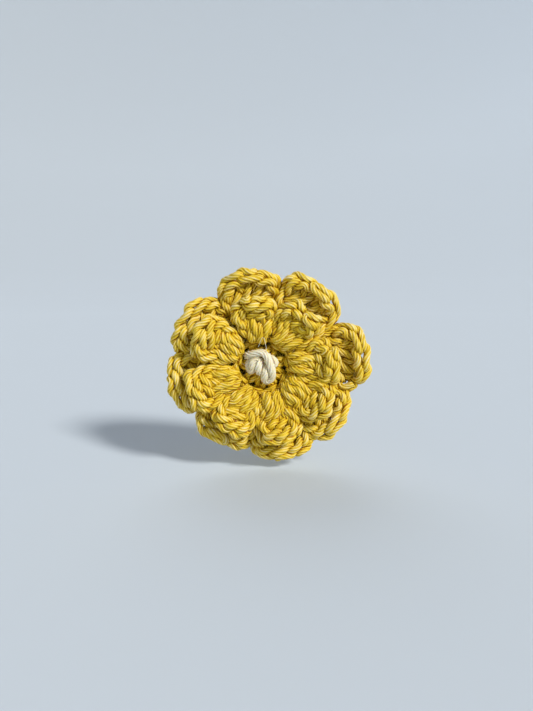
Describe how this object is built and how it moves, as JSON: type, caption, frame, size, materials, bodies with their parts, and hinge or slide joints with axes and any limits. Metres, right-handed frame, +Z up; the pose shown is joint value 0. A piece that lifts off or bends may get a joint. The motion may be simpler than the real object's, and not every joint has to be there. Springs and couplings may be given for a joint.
{
  "type": "flower hair clip",
  "caption": "Crocheted layered flower with a knotted centre, sewn to a felt disc and glued to a sprung alligator clip that grips a lock of hair.",
  "frame": {"origin": "on the flower's axis, in the flat gripping face of the clip's outer jaw, where the hair is held", "axes": "+Z up, +X to the right when looking at the flower's face, -Y the way the flower faces; the clip lies along X with its tip at -X and its lever at +X"},
  "size_m": [0.0557, 0.0262, 0.0537],
  "materials": {
    "yellow_yarn": "crocheted plied cotton yarn, slight sheen",
    "white_yarn": "plied cotton yarn, cream white",
    "felt": "soft cream felt",
    "sewing_thread": "polyester thread",
    "glue": "cloudy hot-melt glue",
    "nickel_steel": "nickel-plated sheet steel, lightly rubbed",
    "spring_steel": "drawn spring wire"
  },
  "bodies": {
    "flower_and_outer_jaw": {"outer_petal_1": "yellow_yarn", "outer_petal_2": "yellow_yarn", "outer_petal_3": "yellow_yarn", "outer_petal_4": "yellow_yarn", "outer_petal_5": "yellow_yarn", "outer_petal_6": "yellow_yarn", "outer_petal_7": "yellow_yarn", "outer_petal_8": "yellow_yarn", "inner_petal_1": "yellow_yarn", "inner_petal_2": "yellow_yarn", "inner_petal_3": "yellow_yarn", "inner_petal_4": "yellow_yarn", "inner_petal_5": "yellow_yarn", "inner_petal_6": "yellow_yarn", "inner_petal_7": "yellow_yarn", "inner_petal_8": "yellow_yarn", "foundation_ring": "yellow_yarn", "back_round": "yellow_yarn", "magic_ring": "yellow_yarn", "centre_knot": "white_yarn", "knot_stem": "white_yarn", "felt_disc": "felt", "felt_stitch_1": "sewing_thread", "felt_stitch_2": "sewing_thread", "felt_stitch_3": "sewing_thread", "felt_stitch_4": "sewing_thread", "felt_stitch_5": "sewing_thread", "felt_stitch_6": "sewing_thread", "felt_stitch_7": "sewing_thread", "felt_stitch_8": "sewing_thread", "glue_pad": "glue", "outer_jaw": "nickel_steel", "hinge_pin": "nickel_steel", "torsion_spring": "spring_steel"},
    "inner_jaw": {"inner_jaw": "nickel_steel"}
  },
  "joints": [
    {"name": "jaw_hinge", "type": "hinge", "parent": "flower_and_outer_jaw", "child": "inner_jaw", "pos_m": [0.009, 0.002, 0], "axis": [0, 0, -1], "range_deg": [0, 30], "stiffness_Nm_per_rad": 0.1, "springref_deg": -60.16, "deforming": ["torsion_spring"]}
  ]
}
